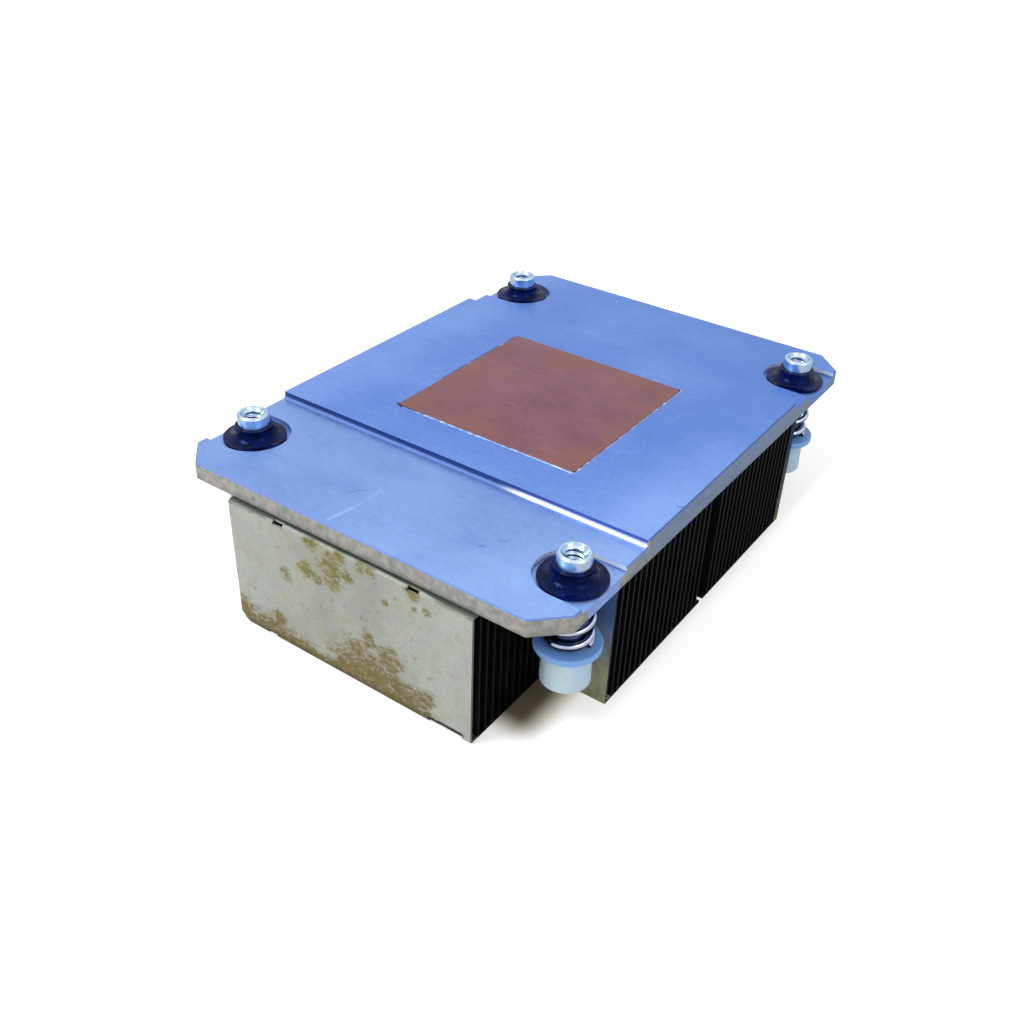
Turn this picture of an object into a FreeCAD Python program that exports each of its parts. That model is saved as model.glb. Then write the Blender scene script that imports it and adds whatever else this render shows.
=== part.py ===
import FreeCAD, Part
import math
import os

# Passive heatsink for one processor in a 1U server, lying fins down with its cold plate up.
#
# Frame: millimetres, +Z up. X runs across the plate, the way the air goes, and Y along it.
# The origin is the middle of the footprint, at the height of the fins' lower folds, which rest
# on the table. "Front" is -Y and "left" is -X.

# ---------------------------------------------------------------- cold plate (milled aluminium)
HOLE_SPACING_X = 60.0  # the pattern of the board's studs, which sizes the plate
HOLE_SPACING_Y = 74.3
SIDE_MARGIN = 5.0  # fastener's axis to the plate's long edge
END_MARGIN = 11.85  # fastener's axis to the plate's end
FLANGE_THICKNESS = 3.0  # the two end flanges, which carry the fasteners
BAND_LENGTH = 51.2  # the raised middle band, which carries the slug
BAND_RISE = 1.15
STEP_FOOT_RADIUS = 0.6  # cutter radius at the foot of the band's two steps
CORNER_CHAMFER = 4.5
EDGE_BREAK = 0.2

# ---------------------------------------------------------------- copper slug
SLUG_SIDE = 34.3
SLUG_CORNER_CHAMFER = 0.5
SLUG_GAP = 0.12  # solder gap all round, between slug and window
SLUG_PROUD = 0.05  # the slug is lapped just above the band
WINDOW_CORNER_RADIUS = 0.4

# ---------------------------------------------------------------- fins (folded aluminium sheet)
FIN_HEIGHT = 23.1
FIN_SHEET = 0.4
FIN_BEND_RADIUS = 0.6  # outside of each fold, on the two end fins
FIN_PITCH = 1.7
PACK_OVERHANG = 0.9  # the end fins stand this far out past the plate's ends
FIN_SIDE_INSET = 1.2  # wide fins end this far inside the plate's long edges
PACK_GAP = 0.4  # least gap between the front and the rear fin pack
LOCK_WIDTH = 2.0  # notch in each fold, which takes the tongue of the fin before it
LOCK_HEIGHT = 0.7
LOCK_SLACK = 0.15
TONGUE_LENGTH = 0.25
UPPER_LOCK_X = 12.7
LOWER_LOCK_X = 16.2
TORN_CORNER = 1.8  # the front end fin has lost its lower left corner
SCUFF_LENGTH = 4.2  # and the edge beside its lower right lock is worn back
SCUFF_HEIGHT = 0.8

# ---------------------------------------------------------------- spring-loaded captive nuts
BARREL_RADIUS = 2.5
BARREL_TOP_CHAMFER = 0.3
BARREL_RISE = 2.05  # how far the barrel stands out of the retaining washer
HEAD_RADIUS = 2.9
HEAD_CHAMFER = 0.3
HEAD_SINK = 0.4  # the head ends this far inside the spring seat's skirt
THREAD_MINOR_RADIUS = 1.42
THREAD_DEPTH = 14.0
MOUTH_RADIUS = 1.9
DRILL_POINT = 0.8
DRIVE_SPAN = 4.4  # cross recess in the head
DRIVE_SLOT = 1.1
DRIVE_DEPTH = 2.2
GROOVE_DEPTH = 0.2  # groove for the retaining washer's lip
LIP_HEIGHT = 0.6
LIP_BELOW_TOP = 0.6

HOLE_CLEARANCE = 0.4  # barrel in the plate
RECESS_DEPTH = 0.8
RECESS_CLEARANCE = 0.7  # retaining washer in its recess

WASHER_RADIUS = 5.0
WASHER_RIM = 0.55
WASHER_RIM_BREAK = 0.15
WASHER_HEIGHT = 2.55
WASHER_HUB_RADIUS = 3.0
WASHER_HUB_COLLAR = 0.45  # height of the plain collar on top of the flare
WASHER_FLARE_BREAK = 0.27  # where the flare's two cones meet, as a share of its way in and up

SEAT_FLANGE_RADIUS = 4.95
SEAT_FLANGE_THICKNESS = 1.1
SEAT_SHOULDER = 1.5  # what stands between the spring and the nut's head
SEAT_SKIRT_LENGTH = 6.0
SEAT_SKIRT_TOP_RADIUS = 3.55
SEAT_SKIRT_FOOT_RADIUS = 3.75
SEAT_EDGE_BREAK = 0.15
SEAT_RUNNING_CLEARANCE = 0.08
SEAT_SIDE_CLEARANCE = 2.2  # seat flange to the ends of the narrow fins
SEAT_FRONT_CLEARANCE = 1.0  # seat flange to the face of the first wide fin

SPRING_LENGTH = 8.2  # as fitted
SPRING_WIRE = 1.0
SPRING_CLEARANCE = 0.2  # spring round the barrel
SPRING_TURNS = 4.1
SPRING_CLOSED_TURNS = 0.75
SPRING_BLEND_TURNS = 0.4
SPRING_SECTION_SIDES = 8  # flats round the wire, so that the sweep stays light

# ---------------------------------------------------------------- heights and places that follow
hole_x = HOLE_SPACING_X / 2
hole_y = HOLE_SPACING_Y / 2
plate_width = HOLE_SPACING_X + 2 * SIDE_MARGIN
plate_length = HOLE_SPACING_Y + 2 * END_MARGIN
plate_underside = FIN_HEIGHT
flange_top = plate_underside + FLANGE_THICKNESS
band_top = flange_top + BAND_RISE
recess_floor = flange_top - RECESS_DEPTH
washer_top = recess_floor + WASHER_HEIGHT
barrel_top = washer_top + BARREL_RISE
lip_top = washer_top - LIP_BELOW_TOP
lip_bottom = lip_top - LIP_HEIGHT
seat_top = plate_underside - SPRING_LENGTH
head_top = seat_top - SEAT_SHOULDER
flange_underside = seat_top - SEAT_FLANGE_THICKNESS
skirt_foot = flange_underside - SEAT_SKIRT_LENGTH
head_foot = skirt_foot + HEAD_SINK

hole_radius = BARREL_RADIUS + HOLE_CLEARANCE
recess_radius = WASHER_RADIUS + RECESS_CLEARANCE
groove_radius = BARREL_RADIUS - GROOVE_DEPTH
spring_radius = BARREL_RADIUS + SPRING_CLEARANCE + SPRING_WIRE / 2

half_wide_fin = plate_width / 2 - FIN_SIDE_INSET
half_narrow_fin = hole_x - SEAT_FLANGE_RADIUS - SEAT_SIDE_CLEARANCE
half_stack = plate_length / 2 + PACK_OVERHANG
narrow_zone = half_stack - hole_y + SEAT_FLANGE_RADIUS + SEAT_FRONT_CLEARANCE
fins_in_pack = math.floor((half_stack - PACK_GAP / 2) / FIN_PITCH)
narrow_fins_in_pack = math.ceil(narrow_zone / FIN_PITCH)

CORNERS = {
    "front_left": (-hole_x, -hole_y),
    "front_right": (hole_x, -hole_y),
    "rear_left": (-hole_x, hole_y),
    "rear_right": (hole_x, hole_y),
}

UP = FreeCAD.Vector(0, 0, 1)


def vec(x, y, z=0.0):
    return FreeCAD.Vector(x, y, z)


def box(x0, x1, y0, y1, z0, z1):
    """A block between two opposite corners."""
    return Part.makeBox(x1 - x0, y1 - y0, z1 - z0, vec(x0, y0, z0))


def disc(radius, z0, z1, x=0.0, y=0.0):
    """An upright cylinder."""
    return Part.makeCylinder(radius, z1 - z0, vec(x, y, z0))


def wire(steps):
    """A closed outline. A step is a point, or (middle, end) of an arc that starts at the last point."""
    edges = []
    last = steps[0]
    for step in steps[1:]:
        if isinstance(step, tuple):
            middle, end = step
            edges.append(Part.Arc(last, middle, end).toShape())
        else:
            end = step
            edges.append(Part.LineSegment(last, end).toShape())
        last = end
    if not last.isEqual(steps[0], 1e-6):
        edges.append(Part.LineSegment(last, steps[0]).toShape())
    return Part.Wire(edges)


def turned(steps):
    """A solid of revolution about Z, from an outline given as (radius, height) points."""
    def place(step):
        if isinstance(step[0], tuple):
            return tuple(vec(r, 0, z) for r, z in step)
        return vec(step[0], 0, step[1])

    return Part.Face(wire([place(step) for step in steps])).revolve(vec(0, 0), UP, 360)


def fold(centre_y, centre_z, radius, start_degrees, end_degrees):
    """Middle and end of a quarter arc in the YZ plane, for the outside or inside of a fold."""
    def at(degrees):
        angle = math.radians(degrees)
        return vec(0, centre_y + radius * math.cos(angle), centre_z + radius * math.sin(angle))

    return at((start_degrees + end_degrees) / 2), at(end_degrees)


# ---------------------------------------------------------------- cold plate and slug
def chamfered_rectangle(width, length, chamfer):
    x, y = width / 2, length / 2
    return wire([
        vec(-x + chamfer, -y), vec(x - chamfer, -y), vec(x, -y + chamfer), vec(x, y - chamfer),
        vec(x - chamfer, y), vec(-x + chamfer, y), vec(-x, y - chamfer), vec(-x, -y + chamfer),
    ])


def upright(outline, z0, z1):
    """A prism on a flat outline."""
    prism = Part.Face(outline).extrude(UP * (z1 - z0))
    prism.translate(UP * z0)
    return prism


def stepped_slab():
    """The plate's side profile, with a coved foot at each step of the raised band."""
    end, step, foot = plate_length / 2, BAND_LENGTH / 2, STEP_FOOT_RADIUS
    cove_z = flange_top + foot
    profile = wire([
        vec(0, -end, plate_underside),
        vec(0, end, plate_underside),
        vec(0, end, flange_top),
        vec(0, step + foot, flange_top),
        fold(step + foot, cove_z, foot, 270, 180),
        vec(0, step, band_top),
        vec(0, -step, band_top),
        vec(0, -step, cove_z),
        fold(-step - foot, cove_z, foot, 0, -90),
        vec(0, -end, flange_top),
    ])
    slab = Part.Face(profile).extrude(vec(plate_width, 0))
    slab.translate(vec(-plate_width / 2, 0))
    return slab


def rim_edges(plate):
    """The level edges on the plate's outline. The steps' own edges stay sharp."""
    half_x, half_y = plate_width / 2, plate_length / 2

    def on_rim(edge):
        middle = edge.valueAt((edge.FirstParameter + edge.LastParameter) / 2)
        x, y = abs(middle.x), abs(middle.y)
        outside = max(x - half_x, y - half_y, x + y - (half_x + half_y - CORNER_CHAMFER))
        return abs(outside) < 1e-6

    def level(edge):
        return len({round(vertex.Z, 6) for vertex in edge.Vertexes}) == 1

    return [edge for edge in plate.Edges if level(edge) and on_rim(edge)]


def slug_window():
    """The through window that the slug is soldered into, with a cutter's radius in its corners."""
    side = SLUG_SIDE + 2 * SLUG_GAP
    window = box(-side / 2, side / 2, -side / 2, side / 2, plate_underside - 1, band_top + 1)
    upright_edges = [edge for edge in window.Edges if abs(edge.tangentAt(edge.FirstParameter).z) > 0.99]
    return window.makeFillet(WINDOW_CORNER_RADIUS, upright_edges)


def fastener_cut(x, y):
    """A through hole, and a round recess that runs straight out through the plate's long edge."""
    outside = math.copysign(plate_width, x)
    slot = box(min(x, outside), max(x, outside), y - recess_radius, y + recess_radius,
               recess_floor, band_top)
    pocket = disc(recess_radius, recess_floor, band_top, x, y)
    hole = disc(hole_radius, plate_underside - 1, flange_top, x, y)
    return slot.fuse([pocket, hole])


def base_plate():
    outline = chamfered_rectangle(plate_width, plate_length, CORNER_CHAMFER)
    plate = stepped_slab().common(upright(outline, plate_underside, band_top))
    plate = plate.makeChamfer(EDGE_BREAK, rim_edges(plate))
    return plate.cut([slug_window()] + [fastener_cut(x, y) for x, y in CORNERS.values()])


def copper_slug():
    outline = chamfered_rectangle(SLUG_SIDE, SLUG_SIDE, SLUG_CORNER_CHAMFER)
    return upright(outline, plate_underside, band_top + SLUG_PROUD)


# ---------------------------------------------------------------- fins
def rounded_section():
    """A fin's channel section with round folds."""
    top, sheet, outer = FIN_HEIGHT, FIN_SHEET, FIN_BEND_RADIUS
    inner = outer - sheet
    return wire([
        vec(0, 0, outer),
        vec(0, 0, top - outer),
        fold(outer, top - outer, outer, 180, 90),
        vec(0, FIN_PITCH, top),
        vec(0, FIN_PITCH, top - sheet),
        vec(0, outer, top - sheet),
        fold(outer, top - outer, inner, 90, 180),
        vec(0, sheet, outer),
        fold(outer, outer, inner, 180, 270),
        vec(0, FIN_PITCH, sheet),
        vec(0, FIN_PITCH, 0),
        vec(0, outer, 0),
        fold(outer, outer, outer, 270, 180),
    ])


def square_section():
    """The same section with square folds, for the many fins that stand behind an end fin."""
    top, sheet = FIN_HEIGHT, FIN_SHEET
    return wire([
        vec(0, 0, 0),
        vec(0, 0, top),
        vec(0, FIN_PITCH, top),
        vec(0, FIN_PITCH, top - sheet),
        vec(0, sheet, top - sheet),
        vec(0, sheet, sheet),
        vec(0, FIN_PITCH, sheet),
        vec(0, FIN_PITCH, 0),
    ])


def fin(section, fold_depth, half_width):
    """One folded fin, its web facing -Y at y = 0. Its folds reach back to the next fin's web.

    The lock notches go through the fold, which is fold_depth deep.
    """
    top, sheet = FIN_HEIGHT, FIN_SHEET
    sheet_metal = Part.Face(section).extrude(vec(2 * half_width, 0))
    sheet_metal.translate(vec(-half_width, 0))
    notches, tongues = [], []
    for x, z0, z1, tongue_z in (
        (UPPER_LOCK_X, top - LOCK_HEIGHT, top, top - sheet),
        (LOWER_LOCK_X, 0, LOCK_HEIGHT, 0),
    ):
        for centre in (-x, x):
            half = LOCK_WIDTH / 2
            notches.append(box(centre - half, centre + half, 0, fold_depth, z0, z1))
            half -= LOCK_SLACK
            tongues.append(box(centre - half, centre + half, FIN_PITCH, FIN_PITCH + TONGUE_LENGTH,
                               tongue_z, tongue_z + sheet))
    return sheet_metal.cut(notches).fuse(tongues).removeSplitter()


def end_fin():
    return fin(rounded_section(), FIN_BEND_RADIUS, half_narrow_fin)


def front_end_fin():
    """The fin that faces out at the front, with its torn corner and its worn lower edge."""
    x = half_narrow_fin
    torn = wire([vec(-x, 0), vec(-x + TORN_CORNER, 0), vec(-x, 0, TORN_CORNER)])
    corner = Part.Face(torn).extrude(vec(0, FIN_BEND_RADIUS))
    worn_from = LOWER_LOCK_X + LOCK_WIDTH / 2
    scuff = box(worn_from, worn_from + SCUFF_LENGTH, 0, FIN_BEND_RADIUS, 0, SCUFF_HEIGHT)
    return end_fin().cut([corner, scuff])


def placed(shape, number, rear):
    """A fin at its place in the front pack, or mirrored into the rear pack."""
    copy = shape.copy()
    copy.translate(vec(0, -half_stack + number * FIN_PITCH))
    return copy.mirror(vec(0, 0), vec(0, 1)) if rear else copy


def fin_packs():
    narrow = fin(square_section(), FIN_SHEET, half_narrow_fin)
    wide = fin(square_section(), FIN_SHEET, half_wide_fin)
    nodes = {
        "front_end_fin": placed(front_end_fin(), 0, False),
        "rear_end_fin": placed(end_fin(), 0, True),
    }
    for name, rear in (("front", False), ("rear", True)):
        inner = [placed(narrow, number, rear) for number in range(1, narrow_fins_in_pack)]
        nodes[f"{name}_narrow_fins"] = Part.makeCompound(inner)
    wide_numbers = list(range(narrow_fins_in_pack, fins_in_pack))
    places = [(number, False) for number in wide_numbers]
    places += [(number, True) for number in reversed(wide_numbers)]
    for count, (number, rear) in enumerate(places, start=1):
        nodes[f"wide_fin_{count:02d}"] = placed(wide, number, rear)
    return nodes


# ---------------------------------------------------------------- fastener pieces, on the Z axis
def captive_nut():
    """A long nut: cross-recessed head at the foot, plain barrel, thread bore open at the top."""
    bore_foot = barrel_top - THREAD_DEPTH
    mouth_depth = MOUTH_RADIUS - THREAD_MINOR_RADIUS
    body = turned([
        (0, head_foot),
        (HEAD_RADIUS - HEAD_CHAMFER, head_foot),
        (HEAD_RADIUS, head_foot + HEAD_CHAMFER),
        (HEAD_RADIUS, head_top),
        (BARREL_RADIUS, head_top),
        (BARREL_RADIUS, lip_bottom),
        (groove_radius, lip_bottom),
        (groove_radius, lip_top),
        (BARREL_RADIUS, lip_top),
        (BARREL_RADIUS, barrel_top - BARREL_TOP_CHAMFER),
        (BARREL_RADIUS - BARREL_TOP_CHAMFER, barrel_top),
        (MOUTH_RADIUS, barrel_top),
        (THREAD_MINOR_RADIUS, barrel_top - mouth_depth),
        (THREAD_MINOR_RADIUS, bore_foot),
        (0, bore_foot - DRILL_POINT),
    ])
    long, short = DRIVE_SPAN / 2, DRIVE_SLOT / 2
    drive_top = head_foot + DRIVE_DEPTH
    drive = [box(-long, long, -short, short, head_foot, drive_top),
             box(-short, short, -long, long, head_foot, drive_top)]
    return body.cut(drive)


def retaining_washer():
    """A push-on washer: flat rim, a hub that flares in two cones, and a lip in the barrel's groove."""
    rim_top = recess_floor + WASHER_RIM
    collar_foot = washer_top - WASHER_HUB_COLLAR
    rim_edge = WASHER_RADIUS - WASHER_RIM_BREAK
    flare_r = WASHER_HUB_RADIUS + WASHER_FLARE_BREAK * (rim_edge - WASHER_HUB_RADIUS)
    flare_z = rim_top + WASHER_FLARE_BREAK * (collar_foot - rim_top)
    return turned([
        (BARREL_RADIUS, recess_floor),
        (WASHER_RADIUS, recess_floor),
        (WASHER_RADIUS, rim_top - WASHER_RIM_BREAK),
        (rim_edge, rim_top),
        (flare_r, flare_z),
        (WASHER_HUB_RADIUS, collar_foot),
        (WASHER_HUB_RADIUS, washer_top),
        (BARREL_RADIUS, washer_top),
        (BARREL_RADIUS, lip_top),
        (groove_radius, lip_top),
        (groove_radius, lip_bottom),
        (BARREL_RADIUS, lip_bottom),
    ])


def spring_seat():
    """A moulded bush: the spring bears on its flange, and its shoulder bears on the nut's head."""
    bore = BARREL_RADIUS + SEAT_RUNNING_CLEARANCE
    counterbore = HEAD_RADIUS + SEAT_RUNNING_CLEARANCE
    rim = SEAT_FLANGE_RADIUS - SEAT_EDGE_BREAK
    return turned([
        (counterbore, skirt_foot),
        (SEAT_SKIRT_FOOT_RADIUS - SEAT_EDGE_BREAK, skirt_foot),
        (SEAT_SKIRT_FOOT_RADIUS, skirt_foot + SEAT_EDGE_BREAK),
        (SEAT_SKIRT_TOP_RADIUS, flange_underside),
        (rim, flange_underside),
        (SEAT_FLANGE_RADIUS, flange_underside + SEAT_EDGE_BREAK),
        (SEAT_FLANGE_RADIUS, seat_top - SEAT_EDGE_BREAK),
        (rim, seat_top),
        (bore, seat_top),
        (bore, head_top),
        (counterbore, head_top),
    ])


def spring():
    """A compression spring with closed, ground ends: one wire swept along a curve on a cylinder."""
    low = seat_top + SPRING_WIRE / 4
    high = plate_underside - SPRING_WIRE / 4
    closed, blend = SPRING_CLOSED_TURNS, SPRING_CLOSED_TURNS + SPRING_BLEND_TURNS
    climb = SPRING_WIRE  # a closed turn lies on the one below it
    rise = [(0, low), (closed, low + closed * climb), (blend, low + blend * climb)]
    fall = [(SPRING_TURNS - turns, low + high - z) for turns, z in reversed(rise)]
    middle = [(SPRING_TURNS / 2, (low + high) / 2)]
    coil = Part.Cylinder()
    coil.Radius = spring_radius
    line = Part.Geom2d.BSplineCurve2d()
    poles = [FreeCAD.Base.Vector2d(2 * math.pi * turns, z) for turns, z in rise + middle + fall]
    line.buildFromPoles(poles, False, 3)
    path = line.toShape(coil)
    start = path.FirstParameter
    sides = SPRING_SECTION_SIDES
    corner_radius = SPRING_WIRE / 2 / math.cos(math.pi / sides)
    corner_circle = Part.makeCircle(corner_radius, path.valueAt(start), path.tangentAt(start))
    corners = [corner_circle.valueAt(2 * math.pi * (side + 0.5) / sides) for side in range(sides)]
    section = Part.makePolygon(corners + corners[:1])
    swept = Part.Wire(path).makePipeShell([section], True, True)
    reach = spring_radius + SPRING_WIRE
    return swept.common(box(-reach, reach, -reach, reach, seat_top, plate_underside))


def fasteners():
    pieces = {
        "captive_nut": captive_nut(),
        "retaining_washer": retaining_washer(),
        "spring_seat": spring_seat(),
        "spring": spring(),
    }
    nodes = {}
    for name, shape in pieces.items():
        for corner, (x, y) in CORNERS.items():
            piece = shape.copy()
            piece.translate(vec(x, y))
            nodes[f"{name}_{corner}"] = piece
    return nodes


def main():
    nodes = {"base_plate": base_plate(), "copper_slug": copper_slug()}
    nodes.update(fin_packs())
    nodes.update(fasteners())
    os.makedirs("parts", exist_ok=True)
    for name, shape in nodes.items():
        shape.exportStep(f"parts/{name}.step")
        print(f"{name}: {len(shape.Solids)} solid(s), {shape.Volume:.1f} mm3, valid {shape.isValid()}")


main()
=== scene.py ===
# %% [markdown]
# # A server heatsink: a lesson in dressing a metal part
#
# The part is a cold plate with a copper slug, a stack of folded fins under it, and four nuts
# held by springs. It lies on its fins. The fins, the plate and the slug come from the packed
# model and only need a finish. The turned pieces at the corners are made again here, with soft
# edges, a real thread and a round wire. Blender works in metres, so sizes are written in
# millimetres times MM.

import math

import bmesh
import bpy
from mathutils import Matrix, Vector


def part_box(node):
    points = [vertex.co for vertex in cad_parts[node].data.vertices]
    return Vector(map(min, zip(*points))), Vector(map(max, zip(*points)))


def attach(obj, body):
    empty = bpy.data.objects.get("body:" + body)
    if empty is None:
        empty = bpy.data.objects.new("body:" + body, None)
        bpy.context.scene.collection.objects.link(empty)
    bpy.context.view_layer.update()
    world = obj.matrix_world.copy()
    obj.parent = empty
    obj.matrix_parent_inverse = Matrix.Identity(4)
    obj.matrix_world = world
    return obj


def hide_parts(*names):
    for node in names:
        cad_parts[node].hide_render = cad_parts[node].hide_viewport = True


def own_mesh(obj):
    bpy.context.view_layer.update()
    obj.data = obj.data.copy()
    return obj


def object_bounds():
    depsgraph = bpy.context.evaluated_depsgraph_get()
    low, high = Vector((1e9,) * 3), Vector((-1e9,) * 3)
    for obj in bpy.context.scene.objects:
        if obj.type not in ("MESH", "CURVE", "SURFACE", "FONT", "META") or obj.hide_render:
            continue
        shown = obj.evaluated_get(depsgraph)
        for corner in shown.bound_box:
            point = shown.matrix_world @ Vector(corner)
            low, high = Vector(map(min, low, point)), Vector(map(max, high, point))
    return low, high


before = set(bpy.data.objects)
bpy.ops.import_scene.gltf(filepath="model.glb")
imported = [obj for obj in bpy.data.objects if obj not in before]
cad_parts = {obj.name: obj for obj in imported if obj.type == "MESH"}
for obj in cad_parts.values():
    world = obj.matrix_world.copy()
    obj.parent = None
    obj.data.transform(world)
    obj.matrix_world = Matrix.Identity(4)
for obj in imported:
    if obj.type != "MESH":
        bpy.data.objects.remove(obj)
cad_low, cad_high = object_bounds()
MM = 0.001


def in_scene(name, data):
    """A new object with this mesh, lamp or camera, in the scene."""
    made = bpy.data.objects.new(name, data)
    bpy.context.scene.collection.objects.link(made)
    return made


# %% [markdown]
# Places are read from the frame, so that each new piece sits where the working model has it.
# A node's box gives its lowest and its highest corner. The plate's flanges are milled lower
# than its middle band, so their top is the plate's underside plus their own thickness.

# %% Measure the plate, the slug and the fasteners
plate_low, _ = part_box("base_plate")
slug_low, slug_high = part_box("copper_slug")
fin_low, fin_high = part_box("front_end_fin")
CORNERS = ("front_left", "front_right", "rear_left", "rear_right")
axes = {}
for corner in CORNERS:
    low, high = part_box(f"captive_nut_{corner}")
    axes[corner] = Vector(((low.x + high.x) / 2, (low.y + high.y) / 2, 0))
FLANGE = 3.0 * MM  # what the flanges are milled down to
BAND_LENGTH = 51.2 * MM
flange_top = plate_low.z + FLANGE
band_end = BAND_LENGTH / 2
for corner, axis in axes.items():
    print(f"{corner}: axis at {axis.x / MM:.1f}, {axis.y / MM:.2f} mm")

# %% [markdown]
# ## Camera
#
# A camera is a place, a direction and a lens. The direction is an azimuth and an elevation
# round a point on the plate, with a small roll, because a hand-held camera is never quite
# level. The camera's three axes are worked out and written as one matrix.

# %% Set the camera
AZIMUTH, ELEVATION, ROLL = (math.radians(a) for a in (33.85, 33.938, 2.46))
CAMERA_DISTANCE = 158.08 * MM
LENS_MM, SENSOR_MM = 38.55, 36.0
target = Vector((15.02 * MM, -30.13 * MM, flange_top))

back = Vector((
    math.sin(AZIMUTH) * math.cos(ELEVATION),
    -math.cos(AZIMUTH) * math.cos(ELEVATION),
    math.sin(ELEVATION),
))
level_right = (-back).cross(Vector((0, 0, 1))).normalized()
level_up = level_right.cross(-back)
right = level_right * math.cos(ROLL) + level_up * math.sin(ROLL)
up = level_up * math.cos(ROLL) - level_right * math.sin(ROLL)

camera = in_scene("camera", bpy.data.cameras.new("camera"))
camera.matrix_world = (
    Matrix.Translation(target + back * CAMERA_DISTANCE)
    @ Matrix((right, up, back)).transposed().to_4x4()
)
camera.data.lens = LENS_MM
camera.data.sensor_width = SENSOR_MM
camera.data.clip_start, camera.data.clip_end = 5 * MM, 20.0
bpy.context.scene.camera = camera
bpy.context.scene.view_settings.view_transform = "Standard"
print(f"camera at {tuple(round(c / MM, 1) for c in camera.matrix_world.translation)} mm")

# %% [markdown]
# ## One small language for nodes
#
# Node trees are sums and products, so they read best as such. `Value` wraps one socket and
# lends it Python's operators, each of which adds a Math node. `Tree` wraps a whole tree and has
# one method that adds any other node.

# %% The helper classes
def math_node(operation, swapped=False):
    """A method of Value that adds a Math node. With one input the other is left at 0."""
    def method(self, other=0.0):
        first, second = (other, self) if swapped else (self, other)
        return self.tree.node("ShaderNodeMath", {0: first, 1: second}, operation=operation)

    return method


class Value:
    """An output socket that can be added, multiplied and compared like a number."""

    def __init__(self, tree, socket):
        self.tree, self.socket = tree, socket

    __add__ = __radd__ = math_node("ADD")
    __mul__ = __rmul__ = math_node("MULTIPLY")
    __sub__, __rsub__ = math_node("SUBTRACT"), math_node("SUBTRACT", swapped=True)
    __truediv__, __abs__ = math_node("DIVIDE"), math_node("ABSOLUTE")
    least, most, fraction = math_node("MINIMUM"), math_node("MAXIMUM"), math_node("FRACT")
    root, sine, cosine = math_node("SQRT"), math_node("SINE"), math_node("COSINE")
    below, above = math_node("LESS_THAN"), math_node("GREATER_THAN")
    turn_from = math_node("ARCTAN2")


class Tree:
    """A node tree, for a material or for Geometry Nodes."""

    def __init__(self, nodes):
        self.nodes = nodes

    def node(self, kind, inputs=(), output=0, **settings):
        """Adds a node with its inputs and its settings, and returns one of its outputs."""
        made = self.nodes.nodes.new(kind)
        for name, value in settings.items():
            setattr(made, name, value)
        for key, value in dict(inputs).items():
            if isinstance(value, Value):
                self.nodes.links.new(value.socket, made.inputs[key])
            else:
                made.inputs[key].default_value = value
        return Value(self, made.outputs[output])

    def rise(self, value, start, end):
        """0 below start, 1 above end, and smooth between them. Start may be above end."""
        return self.node(
            "ShaderNodeMapRange", {0: value, 1: start, 2: end, 3: 0.0, 4: 1.0},
            interpolation_type="SMOOTHSTEP",
        )

    def vector(self, x, y, z):
        return self.node("ShaderNodeCombineXYZ", {0: x, 1: y, 2: z})

    def parts(self, vector):
        return [self.node("ShaderNodeSeparateXYZ", {0: vector}, output=i) for i in range(3)]


print("node helpers ready")

# %% [markdown]
# ## A finish
#
# A finish is a Principled shader. What is the same all over is set on the shader's sockets, and
# what changes is worked out from the place on the piece, in millimetres, so that a scratch has
# the same width on every piece. Colours are written as levels on a screen, from 0 to 255, and
# turned into the light values that the renderer wants.

# %% The finish class
def light_values(colour):
    """Turns three levels from 0 to 255 into light values. Anything else stays as it is."""
    def linear(level):
        share = level / 255
        return share / 12.92 if share <= 0.04045 else ((share + 0.055) / 1.055) ** 2.4

    three_levels = isinstance(colour, tuple) and len(colour) == 3
    return (*map(linear, colour), 1.0) if three_levels else colour


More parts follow.
